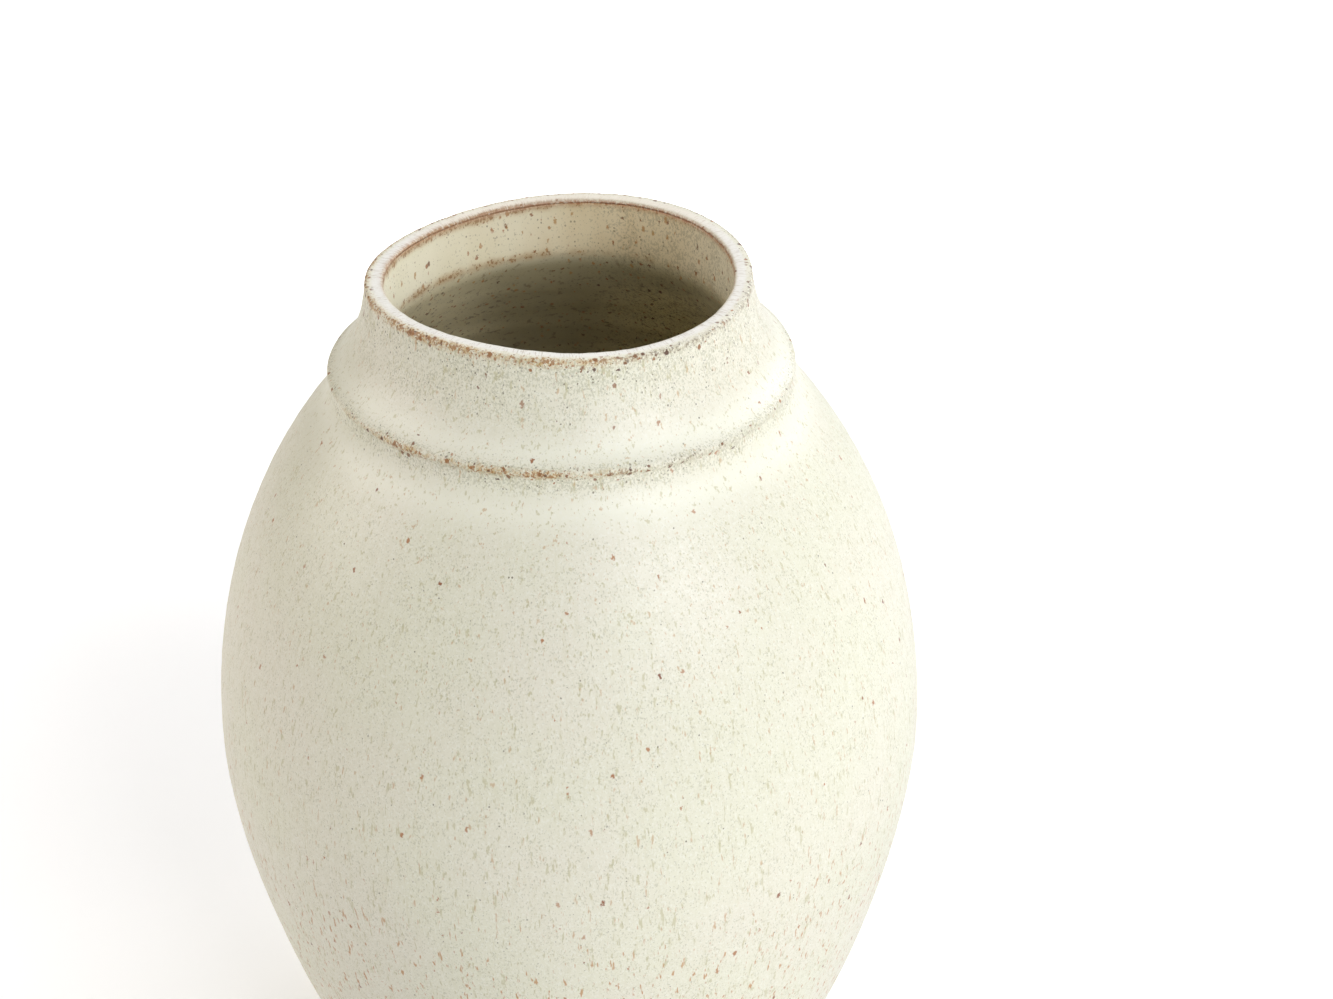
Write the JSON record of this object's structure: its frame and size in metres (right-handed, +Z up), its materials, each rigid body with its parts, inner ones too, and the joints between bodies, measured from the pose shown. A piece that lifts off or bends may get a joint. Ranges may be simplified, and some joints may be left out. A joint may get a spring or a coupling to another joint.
{
  "type": "vase",
  "caption": "Egg-shaped stoneware vase with a short open collar, a ledge on the shoulder, a speckled cream glaze and an unglazed turned foot",
  "frame": {"origin": "centre of the foot ring, on the ground plane", "axes": "+Z up along the vase's turned axis; -Y is the side seen as the front; +X to the right of a viewer in front"},
  "size_m": [0.2394, 0.2394, 0.3238],
  "materials": {
    "clay": "bare speckled stoneware, fired, dry and slightly gritty",
    "slip": "fired slip of the same clay, fine and dry",
    "outer_glaze": "semi-matt warm cream glaze with fine grey grain and brown iron speckle, breaking brown on the edges",
    "liner_glaze": "satin cream to olive liner glaze with brown iron speckle"
  },
  "bodies": {
    "root": {"thrown_body": "clay", "neck_collar": "clay", "joining_slip": "slip", "outer_glaze": "outer_glaze", "liner_glaze": "liner_glaze"}
  },
  "joints": []
}
